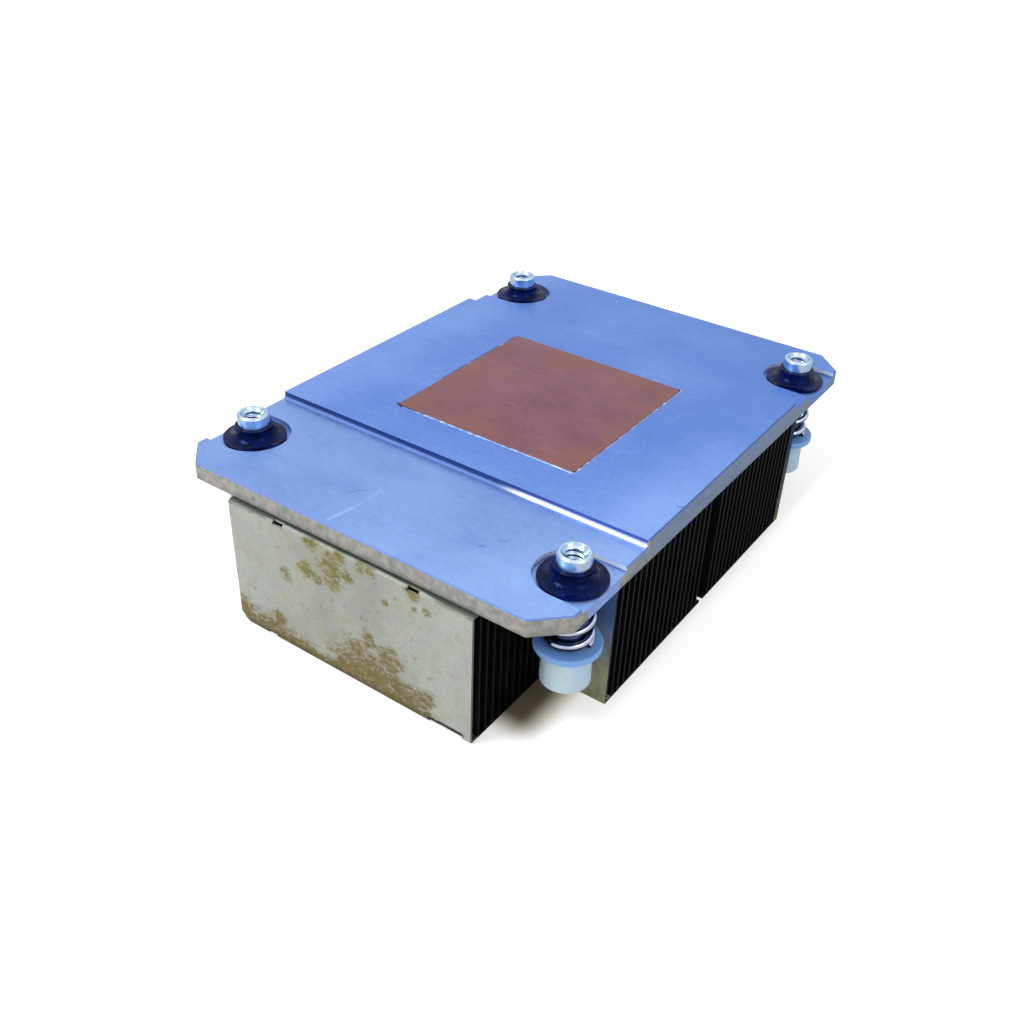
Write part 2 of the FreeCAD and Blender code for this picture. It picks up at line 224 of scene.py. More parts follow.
class Finish(Tree):
    """A material with one Principled shader, read in millimetres of the object's own space."""

    def __init__(self, name, **constants):
        self.material = bpy.data.materials.new(name)
        self.material.use_nodes = True
        super().__init__(self.material.node_tree)
        self.shader = self.nodes.nodes["Principled BSDF"]
        for socket, value in constants.items():
            self.shader.inputs[socket.replace("_", " ")].default_value = value
        coordinates = self.nodes.nodes.new("ShaderNodeTexCoord")
        place = self.node(
            "ShaderNodeVectorMath", {0: Value(self, coordinates.outputs["Object"]), 3: 1 / MM},
            operation="SCALE",
        )
        self.x, self.y, self.z = self.parts(place)
        self.normal_x, self.normal_y, self.normal_z = self.parts(
            Value(self, coordinates.outputs["Normal"])
        )

    def noise(self, per_mm, detail=3.0, stretch=(1, 1, 1), shift=0.0, roughness=0.5):
        """Soft random values round 0.5. Stretch draws the pattern out or together on an axis."""
        at = self.vector(*(axis * s + shift for axis, s in zip((self.x, self.y, self.z), stretch)))
        return self.node("ShaderNodeTexNoise", {
            "Vector": at, "Scale": per_mm, "Detail": detail, "Roughness": roughness,
        })

    def mix(self, share, first, second):
        """The first colour where share is 0, and the second where it is 1."""
        return self.node(
            "ShaderNodeMix", {0: share, 6: light_values(first), 7: light_values(second)},
            output=2, data_type="RGBA", clamp_factor=True,
        )

    def feed(self, socket, value):
        self.nodes.links.new(value.socket, self.shader.inputs[socket])

    def relief(self, height, depth_mm):
        """Height from 0 to 1, as a relief of that depth."""
        bump = self.node("ShaderNodeBump", {
            "Strength": 1.0, "Distance": depth_mm * MM, "Height": height,
        })
        self.feed("Normal", bump)

    def spot(self, centre, radius, first, second):
        """1 at a centre, falling to 0 at radius, on the plane of two of the coordinates."""
        across, along = (first - centre[0]) / radius, (second - centre[1]) / radius
        return 1 - (across * across + along * along)

    def scratch(self, start, end, width):
        """1 on a straight scratch on the XY plane, 0 beside it."""
        run, rise = end[0] - start[0], end[1] - start[1]
        length = math.hypot(run, rise)
        off_x, off_y = self.x - start[0], self.y - start[1]
        along = (off_x * run + off_y * rise) * (1 / length)
        aside = abs(off_x * rise - off_y * run) * (1 / length)
        past = abs(along - length / 2) - length / 2
        return self.rise(aside.most(past), width, width * 0.3)


def wear(piece, finish):
    """Gives a piece, new or from the frame, its finish in every material slot, adding one if it
    has none.
    """
    if not piece.material_slots:
        piece.data.materials.append(finish.material)
    for place in piece.material_slots:
        place.material = finish.material


print("finish helpers ready")

# %% [markdown]
# ## Milled aluminium for the cold plate
#
# The plate is milled from bar and dulled by handling. Its top is painted in the blue of the room
# that it mirrors, a painted reflection, with a painted sheen that is lighter towards the front
# right, slow clouds, a fine grain and scratches. The sawn sides are a warm, mottled grey, and the
# long ones get a painted blue reflection. One finish serves both, because the way a surface faces
# tells top from side. The cove at the foot of the band's step gets a painted highlight where it
# faces the lamp and painted shade elsewhere, and the riser above it is painted dark as shade. Each
# zone has a function of its own, and `plate_finish` lays them over each other.

# %% Make the plate's finish
def round_fastener(f):
    """Distance in millimetres to the nearest fastener's axis."""
    axis = axes["rear_right"] / MM
    off_x, off_y = abs(f.x) - axis.x, abs(f.y) - axis.y
    return (off_x * off_x + off_y * off_y).root()


def strongest_of(marks):
    """The strongest of several marks, at each point."""
    strongest = marks[0]
    for mark in marks[1:]:
        strongest = strongest.most(mark)
    return strongest


def top_tone_and_sheen(f, front, clouds, grain, lay):
    """How light the milled top is: random tone, and a painted sheen that is lightest on the front
    flange, towards its right corner, and at the band's ends.
    """
    across = f.x * 0.8 - f.y
    left_end = f.rise(f.x, -20.0, -31.0) * 0.32
    right_end = f.rise(f.x, 22.0, 32.0) * f.rise(f.y, 12.0, 0.0) * 0.26
    band = f.rise(across, 12.0, 46.0) * 0.28 + left_end + right_end
    flange = 0.38 + f.rise(across, 40.0, 66.0) * 0.42
    uneven = (clouds - 0.5) * 0.9 + (grain - 0.5) * 0.5 + (lay - 0.5) * 0.3
    return 0.1 + front * flange + (1 - front) * band + uneven


# Start, end and width of each scratch on the plate, in millimetres.
DARK_SCRATCHES = (
    ((-6.8, -40.5), (-5.4, -38.6), 0.16), ((16.3, -39.8), (16.9, -39.3), 0.22),
    ((17.8, -37.1), (18.6, -36.6), 0.18), ((-27.8, -19.6), (-27.2, -19.2), 0.15),
    ((34.1, -15.6), (34.9, -15.0), 0.25), ((21.5, 31.0), (24.8, 29.4), 0.12),
    ((-12.0, 42.6), (-7.5, 43.4), 0.1),
)


def milled_top(f, front, tone, clouds, stain, scratches):
    """Blue that is paler on the front flange, where the painted sheen is strongest, with a stain,
    scratches and painted shade in the slug's open gap.
    """
    deep_blue = f.mix(front, (95, 138, 220), (102, 137, 206))
    pale_blue = f.mix(front, (148, 184, 255), (150, 183, 247))
    top = f.mix(tone, deep_blue, pale_blue)
    top = f.mix(stain * 0.16, top, (108, 128, 196))
    top = f.mix(scratches * 0.55, top, (70, 92, 160))
    # Painted shade: the slug's open gap is painted dark along its left side, where the noise lets
    # it, and at its front left corner.
    gap_on_left = f.scratch((-17.45, -5.0), (-17.45, 16.6), 0.24)
    gap_at_corner = f.scratch((-17.5, -17.0), (-16.3, -17.45), 0.34)
    gap_shade = (gap_on_left * f.rise(clouds, 0.42, 0.52) * 0.6).most(gap_at_corner)
    top = f.mix(gap_shade * 0.9, top, (26, 40, 84))
    rubbed = f.scratch((-4.4, -47.6), (-3.6, -43.6), 0.5)
    rubbed = rubbed.most(f.scratch((-3.6, -43.6), (-3.4, -37.4), 0.3) * 0.6)
    return f.mix(rubbed * 0.45, top, (178, 200, 250))


def sawn_side(f, level):
    """Mottled warm grey, darker at its foot. The plate's long sides get a painted reflection of
    the blue room.
    """
    mottle = f.noise(0.9, 5.0, shift=31.0)
    patches = f.noise(0.28, 3.0, shift=47.0)
    side = f.mix(f.rise(mottle, 0.32, 0.68), (150, 154, 150), (186, 187, 182))
    side = f.mix(f.rise(patches, 0.50, 0.66) * 0.45, side, (184, 170, 162))
    side = f.mix(f.rise(patches, 0.46, 0.34) * 0.5, side, (152, 162, 148))
    side = f.mix(f.rise(f.z, level - 1.9, level - 3.0) * 0.5, side, (116, 122, 110))
    # Painted reflection: the long sides are painted blue from near the front to the rear, as if
    # they mirrored the room.
    long_side_reflection = f.rise(abs(f.normal_x), 0.8, 0.95) * f.rise(f.y, -40.0, -14.0)
    return f.mix(long_side_reflection * 0.75, side, (112, 142, 184))


def step_up(f, level, body):
    """Painted shade on the riser at each end of the band, and in the cutter's round cove at its
    foot a painted highlight where it faces the lamp and a painted dark line elsewhere.
    """
    end = band_end / MM
    dark_line, blue_line = (44, 70, 124), (90, 110, 186)
    # Painted shade: the riser is painted dark, a little less so towards the right.
    riser = f.rise(f.z, level + 0.52, level + 0.62) * f.rise(abs(f.normal_y), 0.9, 0.97)
    riser = riser * f.rise(abs(f.y), end + 0.3, end + 0.1)
    body = f.mix(riser, body, f.mix(f.rise(f.x, 2.0, 26.0), dark_line, blue_line))
    cove = f.rise(f.z, level + 0.62, level + 0.52) * f.rise(f.z, level + 0.002, level + 0.02)
    cove = cove * f.rise(abs(f.y), end + 0.9, end + 0.6) * f.rise(abs(f.normal_x), 0.6, 0.3)
    # Painted highlight: to the right the cove is painted near white. To the left its upper part is
    # painted as a dark line of shade.
    lit = f.rise(f.x, 8.5, 15.5)
    unlit = f.mix(f.rise(f.z, level + 0.24, level + 0.5), (112, 140, 204), dark_line)
    return f.mix(cove, body, f.mix(lit, unlit, (232, 240, 255))), cove, lit


def plate_finish():
    f = Finish("milled_aluminium")
    level = flange_top / MM
    front = f.rise(f.y, -band_end / MM - 0.2, -band_end / MM - 0.6)
    clouds = f.noise(0.05, 4.0, shift=3.0)
    grain = f.noise(1.1, 5.0, shift=11.0)
    lay = f.noise(0.9, 2.0, stretch=(0.12, 2.2, 1), shift=5.0)
    stain = f.rise(f.noise(0.16, 5.0, shift=23.0), 0.52, 0.70)
    scratches = strongest_of([f.scratch(*scratch) for scratch in DARK_SCRATCHES])
    # Painted sheen: the top's tone is made lighter where it would catch the light.
    tone = top_tone_and_sheen(f, front, clouds, grain, lay)
    top = milled_top(f, front, tone, clouds, stain, scratches)

    facing_up = f.rise(abs(f.normal_z), 0.45, 0.8)
    in_recess = f.rise(round_fastener(f), 6.6, 6.2)
    body = f.mix(facing_up.most(in_recess), sawn_side(f, level), top)
    body, cove, lit = step_up(f, level, body)

    below = f.rise(f.z, level + 0.01, level - 0.01) * f.rise(f.z, level - 0.85, level - 0.78)
    across_slot = f.rise(abs(f.normal_y), 0.9, 0.97) * f.rise(abs(f.y), 48.4, 47.9)
    recess_wall = f.rise(abs(f.normal_z), 0.5, 0.3) * below * in_recess.most(across_slot)
    # Painted highlight: the recess walls are painted near white on their upper part towards the
    # right, and a darker blue elsewhere.
    recess_highlight = f.rise(f.z, level - 0.76, level - 0.5) * f.rise(f.x, -20.0, 0.0)
    body = f.mix(recess_wall, body, f.mix(recess_highlight, (104, 126, 190), (240, 248, 255)))

    # Painted light on the chamfers: the band's are painted as a dark line of shade, and the
    # flanges' a darker blue that tones their highlight down to a faint line.
    bevel = f.rise(f.normal_z, 0.3, 0.6) * f.rise(f.normal_z, 0.97, 0.85) * (1 - cove)
    high = f.rise(f.z, level + 0.4, level + 0.6)
    body = f.mix(bevel * 0.9, body, f.mix(high, (116, 142, 204), (88, 114, 178)))
    f.feed("Base Color", body)
    f.feed("Metallic", 0.7 - recess_wall * 0.6)
    roughness = 0.38 + (grain - 0.5) * 0.2 + (1 - facing_up) * 0.16 + stain * 0.08
    f.feed("Roughness", roughness + cove * (1 - lit) * 0.3 - cove * lit * 0.12 + bevel * 0.3)
    f.relief(grain * 0.5 + lay * 0.3 - scratches * 1.0, 0.014)
    return f


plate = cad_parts["base_plate"]
wear(plate, plate_finish())
print("plate: milled top, sawn sides, scratches")

# %% [markdown]
# ## Lapped copper for the slug
#
# Lapped copper turns a dull brownish pink with handling. Its edges, which a cloth reaches less,
# stay more orange. The faint lines are a noise that is squeezed across the way the part was
# rubbed and drawn out along it.

# %% Make the copper finish
SLUG_NICKS = (
    ((-4.6, -12.2), (-1.2, -12.0), 0.12), ((-9.0, -3.2), (-3.4, -2.6), 0.1),
    ((3.2, -10.4), (7.0, -10.9), 0.1), ((5.0, 2.4), (11.0, 3.4), 0.09),
)


def copper_finish():
    f = Finish("lapped_copper", Metallic=0.7)
    clouds = f.noise(0.09, 4.0, shift=17.0)
    lines = f.noise(1.2, 3.0, stretch=(0.06, 1.6, 1), shift=2.0)
    grain = f.noise(1.6, 5.0, shift=8.0)
    tone = 0.5 + (clouds - 0.5) * 1.6 + (lines - 0.5) * 0.5 + (grain - 0.5) * 0.7
    face = f.mix(tone, (118, 76, 90), (150, 106, 118))
    half = (slug_high.x - slug_low.x) / 2 / MM
    from_edge = half - abs(f.x).most(abs(f.y))
    warmth = f.noise(0.16, 5.0, stretch=(0.6, 1, 1), shift=37.0)
    glow = f.rise(from_edge * 0.07 + (warmth - 0.5) * 2.6, 0.5, -0.1)
    face = f.mix(glow * 0.5, face, (150, 98, 82))
    olive = f.rise(f.noise(0.13, 5.0, stretch=(0.5, 1.2, 1), shift=61.0), 0.54, 0.72)
    face = f.mix(olive * 0.4, face, (136, 98, 84))
    rim = f.rise(from_edge + (grain - 0.5) * 0.8, 0.5, 0.1)
    face = f.mix(rim * 0.35, face, (158, 102, 88))
    worn = f.rise(f.noise(0.3, 4.0, stretch=(0.2, 1, 1), shift=29.0), 0.58, 0.75)
    face = f.mix(worn * 0.4, face, (164, 122, 134))
    nicks = strongest_of([f.scratch(*nick) for nick in SLUG_NICKS])
    face = f.mix(nicks * 0.5, face, (84, 66, 74))
    f.feed("Base Color", face)
    f.feed("Roughness", 0.4 + (lines - 0.5) * 0.2 + (clouds - 0.5) * 0.15)
    f.relief(lines * 0.5 + grain * 0.5 - nicks, 0.01)
    return f


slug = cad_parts["copper_slug"]
wear(slug, copper_finish())
print("slug: lapped copper")

# %% [markdown]
# ## Shapes that follow a rule
#
# A thread, a spring and a bead of solder each follow a rule, and Geometry Nodes can state it:
# a tree takes named sizes and gives back the shape. The helpers make such a tree, run it once
# with its sizes, and keep only the plain mesh.

# %% A helper that builds and applies a Geometry Nodes tree
def geometry_tree(name, sizes):
    """A new tree with one geometry input and one float or material input for each size."""
    group = bpy.data.node_groups.new(name, "GeometryNodeTree")
    group.interface.new_socket("Geometry", in_out="INPUT", socket_type="NodeSocketGeometry")
    group.interface.new_socket("Geometry", in_out="OUTPUT", socket_type="NodeSocketGeometry")
    for size, value in sizes.items():
        kind = "NodeSocketFloat" if isinstance(value, float) else "NodeSocketMaterial"
        group.interface.new_socket(size, in_out="INPUT", socket_type=kind)
    tree = Tree(group)
    entry = group.nodes.new("NodeGroupInput")
    inputs = {socket.name: Value(tree, socket) for socket in entry.outputs if socket.name}
    return tree, inputs


def finish_tree(tree, geometry, material):
    """Ends a tree: everything real, with its material."""
    real = tree.node("GeometryNodeRealizeInstances", {"Geometry": geometry})
    painted = tree.node("GeometryNodeSetMaterial", {"Geometry": real, "Material": material})
    end = tree.nodes.nodes.new("NodeGroupOutput")
    tree.nodes.links.new(painted.socket, end.inputs[0])


def evaluated(piece):
    """A plain mesh of an object with its modifiers worked out."""
    seen = piece.evaluated_get(bpy.context.evaluated_depsgraph_get())
    return bpy.data.meshes.new_from_object(seen)


def grown(name, mesh, tree, sizes):
    """The plain mesh that the tree makes out of a mesh, with these sizes."""
    maker = in_scene(name, mesh)
    modifier = maker.modifiers.new(name, "NODES")
    modifier.node_group = tree.nodes
    for item in tree.nodes.interface.items_tree:
        if item.in_out == "INPUT" and item.name in sizes:
            modifier[item.identifier] = sizes[item.name]
    made = evaluated(maker)
    maker.modifiers.remove(modifier)
    bpy.data.objects.remove(maker)
    return made


print("Geometry Nodes helpers ready")

# %% [markdown]
# ## Solder round the slug
#
# When the slug is set, solder is squeezed up out of the gap. Lapping flattens it to a thin
# bright line that comes and goes. Here a rectangle is cut into many points, noise makes each
# point thinner or thicker and moves it sideways, and a circle swept along it is flattened. On
# two sides of the slug more of it is left.

# %% Run the solder round the slug
def solder_finish():
    f = Finish("solder", Metallic=0.85)
    dull = f.noise(0.8, 4.0, shift=33.0)
    # Painted reflection: the bead is painted bluish at the front and pinkish on the right, with
    # painted glints near white where the noise is high.
    right_side = f.rise(f.x - abs(f.y), -0.5, 0.5)
    shine = f.mix(right_side, (168, 188, 240), (176, 160, 200))
    f.feed("Base Color", f.mix(f.rise(dull, 0.5, 0.66), shine, (240, 244, 255)))
    f.feed("Roughness", 0.2 + dull * 0.25)
    return f


solder = solder_finish()
BEAD_SIZES = {
    "Side": (slug_high.x - slug_low.x) + 0.3 * MM, "Radius": 0.24 * MM, "Wander": 0.1 * MM,
    "Top": slug_high.z - 0.05 * MM, "Flatness": 0.26, "Material": solder.material,
}
POINTS_ROUND_SLUG = 900
SIDES_OF_BEAD = 10
THINNEST = 0.02  # as a share of the radius, so that the tube stays closed


def bead_girth(tree, x, y, spread, lump, half):
    """How much solder is left: most at the front, less on the right, and scraps elsewhere."""
    at_front = tree.rise(y, half * -0.985, half * -0.995) * tree.rise(x, half * -0.84, half * -0.7)
    at_right = tree.rise(x, half * 0.985, half * 0.995) * 0.45
    scraps = tree.rise(lump, 0.56, 0.66) * 0.5 * tree.rise(y, half * 0.99, half * 0.9)
    scraps = scraps * tree.rise(y, half * -0.9, half * -0.7)
    much = at_front.most(at_right).most(scraps)
    blob = tree.rise(abs(x - half * 0.93), half * 0.08, half * 0.02) * at_front
    girth = much * (0.35 + tree.rise(spread, 0.35, 0.65) * 0.75) + blob * 0.5
    return girth.most(THINNEST)


def bead_tree():
    tree, size = geometry_tree("solder_bead", BEAD_SIZES)
    square = tree.node("GeometryNodeCurvePrimitiveQuadrilateral", {
        "Width": size["Side"], "Height": size["Side"],
    })
    points = tree.node("GeometryNodeResampleCurve", {
        "Curve": square, "Count": POINTS_ROUND_SLUG,
    })
    place = tree.node("GeometryNodeInputPosition")
    x, y, _ = tree.parts(place)
    spread = tree.node("ShaderNodeTexNoise", {"Vector": place, "Scale": 900.0, "Detail": 4.0})
    lump = tree.node("ShaderNodeTexNoise", {"Vector": place, "Scale": 260.0, "Detail": 2.0})
    sideways = (spread - 0.5) * size["Wander"] * 2
    moved = tree.node("GeometryNodeSetPosition", {
        "Geometry": points, "Position": tree.vector(x + sideways, y + sideways, size["Top"]),
    })
    girth = bead_girth(tree, x, y, spread, lump, size["Side"] * 0.5)
    thick = tree.node("GeometryNodeSetCurveRadius", {"Curve": moved, "Radius": girth})
    circle = tree.node("GeometryNodeCurvePrimitiveCircle", {
        "Resolution": SIDES_OF_BEAD, "Radius": size["Radius"],
    })
    swept = tree.node("GeometryNodeCurveToMesh", {
        "Curve": thick, "Profile Curve": circle, "Scale": girth,
    })
    flat_x, flat_y, flat_z = tree.parts(tree.node("GeometryNodeInputPosition"))
    level = size["Top"] + (flat_z - size["Top"]) * size["Flatness"]
    lapped = tree.node("GeometryNodeSetPosition", {
        "Geometry": swept, "Position": tree.vector(flat_x, flat_y, level),
    })
    finish_tree(tree, lapped, size["Material"])
    return tree


bead_mesh = grown("solder_bead", bpy.data.meshes.new("seed"), bead_tree(), BEAD_SIZES)
bead_mesh.shade_smooth()
bead = in_scene("solder_bead", bead_mesh)
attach(bead, "heatsink")
wear(bead, solder)
print(f"solder: {len(bead_mesh.polygons)} faces round the slug")

# %% [markdown]
# ## Rolled sheet for the fins
#
# The two fins that face out are pale rolled sheet, with brown tarnish where moisture sat, along
# the foot and under the plate. Each patch is a centre and a radius on the fin's face. The
# patches are joined by taking the strongest, and a blocky noise eats into their edges. The fins
# behind are painted nearly black, as painted shade of their deep, narrow gaps.

# %% Make the end fins' finish
fin_face = max(abs(fin_low.y), abs(fin_high.y)) / MM
# Centre across, centre up and radius of each patch, in millimetres.
FOOT_PATCHES = (
    (-21.8, 2.2, 3.4), (-19.0, 1.4, 3.4), (-15.5, 1.2, 3.6), (-14.0, 4.6, 1.6), (-12.0, 0.8, 3.2),
    (-8.6, 1.2, 2.8), (-5.6, 0.8, 1.6), (-2.6, 0.4, 3.0), (0.4, 2.6, 4.6), (1.2, 6.4, 2.8),
    (4.4, 3.2, 5.2), (4.2, 9.6, 1.8), (8.2, 7.6, 3.0), (8.6, 2.4, 4.6), (12.2, 1.8, 4.0),
    (14.6, 4.2, 2.2), (15.2, 0.6, 2.0),
)
HEAD_PATCHES = (
    (-6.2, 22.6, 1.9), (-2.3, 19.8, 3.0), (-0.6, 22.4, 1.6), (-7.6, 17.0, 1.8), (-5.4, 16.4, 1.2),
    (0.5, 19.6, 1.5), (-2.2, 17.0, 1.6), (3.0, 22.6, 1.6), (5.0, 22.6, 1.2), (12.6, 22.4, 1.6),
    (15.1, 20.2, 0.9), (-11.8, 14.2, 1.4), (12.9, 19.6, 0.7), (7.7, 18.4, 0.7),
)


def tarnish(f, patches, along):
    """How deep inside a patch of tarnish each point is, from about -1 outside to 1."""
    spots = [f.spot((x, z), radius, along, f.z) for x, z, radius in patches]
    return strongest_of(spots).most(-1.5)


def pale_sheet(f, along, clouds, grain):
    """Dull rolled aluminium, paler towards both ends, with a faint mottle."""
    outer = f.rise(abs(along + 2.0), 7.0, 17.0)
    mottle = f.noise(0.5, 5.0, shift=19.0, roughness=0.65)
    pale = f.mix(f.rise(clouds, 0.34, 0.66), (160, 165, 158), (176, 180, 170))
    pale = f.mix(outer * 0.5, pale, (190, 198, 192))
    pale = f.mix(f.rise(mottle, 0.5, 0.62) * 0.55, pale, (168, 168, 142))
    pale = f.mix(f.rise(mottle, 0.48, 0.36) * 0.5, pale, (174, 170, 174))
    pale = f.mix(f.rise(grain, 0.56, 0.74) * 0.5, pale, (150, 148, 134))
    return f.mix(f.rise(grain, 0.44, 0.28) * 0.45, pale, (188, 192, 192))


def stained(f, skin, along, depth, blocks):
    """The sheet with its tarnish, and how strong the tarnish is at each point."""
    fine = f.noise(1.5, 6.0, stretch=(0.8, 1, 1.2), shift=9.1, roughness=0.75)
    halo = f.rise(depth * 0.5 + (blocks - 0.5) * 2.6, -0.35, 0.5)
    solid = f.rise(depth * 0.62 + (blocks - 0.5) * 1.9 + (fine - 0.5) * 2.6, 0.0, 0.72)
    dots = f.noise(0.8, 6.0, shift=71.0, roughness=0.7)
    specks = f.rise(dots, 0.585, 0.65) * f.rise(f.noise(0.1, 2.0, shift=41.0), 0.38, 0.52)
    specks = specks * f.rise(along, 19.0, 15.0)
    hue = f.noise(0.5, 4.0, shift=53.0)
    brown = f.mix(f.rise(hue, 0.42, 0.6), (112, 120, 46), (144, 128, 74))
    brown = f.mix(f.rise(f.z, 14.0, 6.0) * 0.65, brown, (120, 100, 34))
    brown = f.mix(f.rise(fine, 0.5, 0.66) * 0.6, brown, (88, 88, 32))
    low_halo = f.mix(f.rise(f.z, 15.0, 9.0), (162, 160, 138), (160, 150, 142))
    skin = f.mix(halo * 0.75, skin, low_halo)
    return f.mix((solid * 0.88).most(specks * 0.6), skin, brown), solid


def dark_foot_and_painted_shade(f, skin, along, blocks):
    """A dark line along the foot, and painted shade where the foot's edge is raised at the right
    lock, for the shadow under it.
    """
    foot = f.rise(f.z + (blocks - 0.5) * 2.6, 1.9, 0.5) * f.rise(abs(along + 3.0), 19.8, 17.5)
    skin = f.mix(foot * 0.8, skin, (82, 74, 28))
    # Painted shadow: the strip under the raised edge at the right lock is painted nearly black.
    raised_edge_shade = f.rise(f.z, 1.5, 1.2) * f.rise(abs(along - 19.2), 2.6, 2.1)
    raised_edge_shade = raised_edge_shade.most(f.rise(f.z, 1.3, 1.0) * f.rise(abs(along - 16.4), 1.3, 0.9))
    return f.mix(raised_edge_shade, skin, (34, 34, 18))


def shaded_head(f, skin, along, clouds, blocks):
    """The upper fold: the ledge painted darker against the light from above, painted shadow in the
    seam under the plate, and painted shade below it.
    """
    top = fin_high.z / MM
    ends = f.rise(abs(along - 1.0), 12.0, 17.5)
    # Painted shade: the ledge faces the light from above and is painted darker.
    ledge = f.rise(f.normal_z, 0.45, 0.8)
    skin = f.mix(ledge * 0.6, skin, (136, 139, 130))
    # Painted shadow: the seam where the ledge meets the plate is painted dark, and the face just
    # below the plate gets painted shade.
    behind_face = fin_face - abs(f.y)
    seam = f.rise(behind_face + ends * 0.3 + (clouds - 0.5) * 0.5, 0.4, 0.6) * ledge
    skin = f.mix(seam * 0.9, skin, (44, 50, 46))
    shade = f.rise(f.z + ends * 0.5 + (blocks - 0.5) * 0.9, top - 0.2, top + 0.3)
    return f.mix(shade * (0.35 + ends * 0.3), skin, (78, 84, 74))


def end_fin_finish(name, patches, side):
    """The finish of an end fin. Side is 1 at the front and -1 at the rear, which is mirrored."""
    f = Finish(name, Metallic=0.25)
    along = f.x * side
    clouds = f.noise(0.14, 4.0, shift=13.0)
    grain = f.noise(1.3, 6.0, shift=6.0, roughness=0.6)
    blocks = f.noise(0.7, 6.0, stretch=(0.8, 1, 1.2), shift=3.7, roughness=0.7)
    skin = pale_sheet(f, along, clouds, grain)
    skin, stain = stained(f, skin, along, tarnish(f, patches, along), blocks)
    skin = dark_foot_and_painted_shade(f, skin, along, blocks)
    skin = shaded_head(f, skin, along, clouds, blocks)
    edge_on = f.rise(abs(f.normal_x), 0.5, 0.8)
    f.feed("Base Color", f.mix(edge_on * 0.8, skin, (84, 86, 80)))
    f.feed("Roughness", 0.5 + stain * 0.25 + (grain - 0.5) * 0.15)
    f.relief(grain * 0.5 + stain * 0.5, 0.02)
    return f


front_finish = end_fin_finish("tarnished_sheet_front", FOOT_PATCHES + HEAD_PATCHES, 1.0)
rear_finish = end_fin_finish("tarnished_sheet_rear", FOOT_PATCHES[2:8] + HEAD_PATCHES[4:8], -1.0)
wear(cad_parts["front_end_fin"], front_finish)
wear(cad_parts["rear_end_fin"], rear_finish)
print(f"end fins: {len(FOOT_PATCHES) + len(HEAD_PATCHES)} patches of tarnish")


# %% Make the stacked fins' finishes
def stacked_fin_finish(name, edge_dark, edge_light, web_foot, web_top):
    """Dark cut edges, light folds underneath, and a web that changes from its foot to its top."""
    f = Finish(name, Metallic=0.3, Specular_IOR_Level=0.2)
    grain = f.noise(0.9, 4.0, stretch=(1, 1, 0.4), shift=7.0)
    height = f.rise(f.z, 2.0, fin_high.z / MM - 3.0)
    web = f.mix(height, web_foot, web_top)
    web = f.mix(f.rise(grain, 0.5, 0.75) * 0.3, web, (40, 42, 40))
    cut_edge = f.mix(f.rise(grain, 0.42, 0.66), edge_dark, edge_light)
    rubbed = f.rise(f.noise(0.2, 4.0, shift=5.0), 0.4, 0.6)
    fold = f.mix(rubbed, (150, 154, 152), (176, 178, 172))
    skin = f.mix(f.rise(abs(f.normal_x), 0.5, 0.8), web, cut_edge)
    skin = f.mix(f.rise(f.normal_z, -0.5, -0.8) * f.rise(f.z, 0.3, 0.1), skin, fold)
    f.feed("Base Color", skin)
    f.feed("Roughness", 0.6 + (grain - 0.5) * 0.3)
    f.relief(grain, 0.01)
    return f


# Painted shade: the webs of the stacked fins are painted nearly black, for the deep shade in their
# narrow gaps.
DARK_WEB = ((8, 9, 9), (8, 10, 13))
narrow_finish = stacked_fin_finish("sooty_fins", (2, 2, 2), (18, 19, 18), *DARK_WEB)
wide_finish = stacked_fin_finish("dusty_fins", (3, 6, 9), (21, 27, 33), *DARK_WEB)
OPEN_WEB = ((176, 178, 142), (82, 112, 172))
open_finish = stacked_fin_finish("open_fin_web", (20, 24, 24), (52, 58, 56), *OPEN_WEB)
wide_fins = sorted(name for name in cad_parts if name.startswith("wide_fin_"))
open_fins = (wide_fins[0], wide_fins[-1])
for name in ("front_narrow_fins", "rear_narrow_fins"):
    wear(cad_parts[name], narrow_finish)
for name in wide_fins:
    wear(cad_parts[name], open_finish if name in open_fins else wide_finish)
print(f"stack: {len(wide_fins)} wide fins, of which {len(open_fins)} are open to view")

# %% [markdown]
# ## Finishes for the fasteners
#
# Bright zinc for the nuts, polished wire for the springs, black nylon for the washers and white
# nylon for the seats. White nylon lets light a little way in, as subsurface scattering does.

# %% Make the fasteners' finishes
def zinc_finish():
    f = Finish("bright_zinc", Metallic=1.0)
    frost = f.noise(2.4, 4.0, shift=9.0)
    turned_lines = f.noise(5.0, 2.0, stretch=(0.15, 0.15, 3.0), shift=4.0)
    skin = f.mix(frost, (158, 188, 226), (212, 232, 246))
    # Painted shade: deep in the bore the zinc is painted dark navy, and below the plate the barrel
    # is painted dark blue, for shade and the dark fins it would mirror.
    in_bore = f.rise(round_fastener(f), 1.88, 1.78)
    deep = f.rise(f.z, barrel_top / MM - 1.4, barrel_top / MM - 3.6)
    skin = f.mix(in_bore * deep * 0.9, skin, (12, 22, 58))
    under_plate = f.rise(f.z, plate_low.z / MM + 1.0, plate_low.z / MM - 0.6)
    skin = f.mix(under_plate * 0.85, skin, (26, 38, 92))
    f.feed("Base Color", skin)
    f.feed("Roughness", 0.16 + frost * 0.14)
    f.relief(turned_lines * 0.6 + frost * 0.4, 0.006)
    return f


def wire_finish():
    f = Finish("polished_wire", Metallic=1.0)
    drawn = f.noise(1.6, 3.0, shift=21.0)
    bright = f.mix(drawn, (176, 186, 214), (232, 236, 246))
    # Painted light: the wire is painted bright where it faces up and dark navy where it faces
    # down.
    facing_up = f.rise(f.normal_z, -0.15, 0.3)
    f.feed("Base Color", f.mix(facing_up, (18, 24, 62), bright))
    f.feed("Roughness", 0.1 + drawn * 0.1)
    f.relief(drawn, 0.004)
    return f


